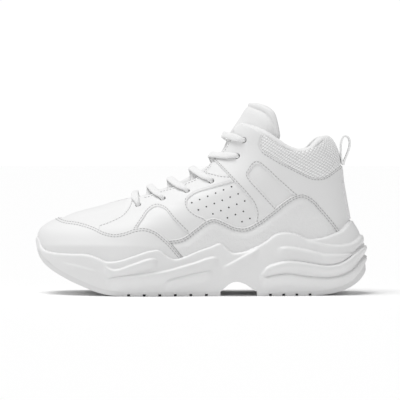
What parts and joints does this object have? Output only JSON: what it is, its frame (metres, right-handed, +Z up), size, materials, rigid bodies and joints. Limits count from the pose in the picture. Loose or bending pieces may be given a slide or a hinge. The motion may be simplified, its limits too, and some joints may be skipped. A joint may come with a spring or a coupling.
{
  "type": "high-top basketball shoe",
  "caption": "High-top basketball shoe for the left foot: padded ankle collar, laced throat with a hinging tongue top, sculpted foam sole and a heel pull loop.",
  "frame": {"origin": "on the ground under the middle of the shoe's length and width", "axes": "+Z up; the toe points along -X and the heel along +X; the outer side of the foot is -Y"},
  "size_m": [0.3049, 0.1098, 0.1761],
  "materials": {
    "outsole_rubber": "matte white moulded rubber",
    "midsole_foam": "smooth satin moulded foam",
    "shank_plastic": "smooth white plastic",
    "board_fabric": "plain woven board",
    "insole_fabric": "brushed knit over foam",
    "smooth_leather": "smooth white leather",
    "stiffener": "stiff felt-backed sheet",
    "lining_textile": "fine knitted lining",
    "collar_knit": "diamond knit mesh",
    "padding_foam": "open soft foam",
    "overlay_leather": "soft grained white leather",
    "loop_webbing": "narrow woven webbing",
    "lace_cotton": "flat braided lace",
    "lace_tip_plastic": "clear moulded tip",
    "tongue_textile": "smooth padded textile"
  },
  "bodies": {
    "shoe": {"outsole_forefoot": "outsole_rubber", "outsole_heel": "outsole_rubber", "midsole": "midsole_foam", "midfoot_shank": "shank_plastic", "lasting_board": "board_fabric", "insole": "insole_fabric", "vamp": "smooth_leather", "toe_puff": "stiffener", "heel_counter": "stiffener", "lining": "lining_textile", "collar_mesh": "collar_knit", "collar_foam": "padding_foam", "collar_lining": "lining_textile", "collar_roll": "lining_textile", "heel_backstay": "overlay_leather", "pull_loop_anchor": "loop_webbing", "toe_guard": "overlay_leather", "lace": "lace_cotton", "lace_tips": "lace_tip_plastic", "outer_side_panel": "smooth_leather", "outer_ankle_panel": "smooth_leather", "outer_vent_panel": "smooth_leather", "outer_eyestay": "overlay_leather", "outer_ankle_quarter": "overlay_leather", "outer_foxing": "overlay_leather", "outer_backing": "stiffener", "inner_side_panel": "smooth_leather", "inner_ankle_panel": "smooth_leather", "inner_vent_panel": "smooth_leather", "inner_eyestay": "overlay_leather", "inner_ankle_quarter": "overlay_leather", "inner_foxing": "overlay_leather", "inner_backing": "stiffener", "tongue_face": "tongue_textile", "tongue_foam": "padding_foam", "tongue_lining": "lining_textile"},
    "tongue_flap": {"tongue_flap_face": "tongue_textile", "tongue_flap_foam": "padding_foam", "tongue_flap_lining": "lining_textile"},
    "pull_loop": {"pull_loop": "loop_webbing"}
  },
  "joints": [
    {"name": "tongue_flex", "type": "hinge", "parent": "shoe", "child": "tongue_flap", "pos_m": [0.0333, 0, 0.1522], "axis": [0, 1, 0], "range_deg": [-30, 15], "stiffness_Nm_per_rad": 0.1},
    {"name": "pull_loop_flex", "type": "hinge", "parent": "shoe", "child": "pull_loop", "pos_m": [0.1315, 0, 0.1178], "axis": [0, 1, 0], "range_deg": [0, 75], "stiffness_Nm_per_rad": 0.01}
  ]
}
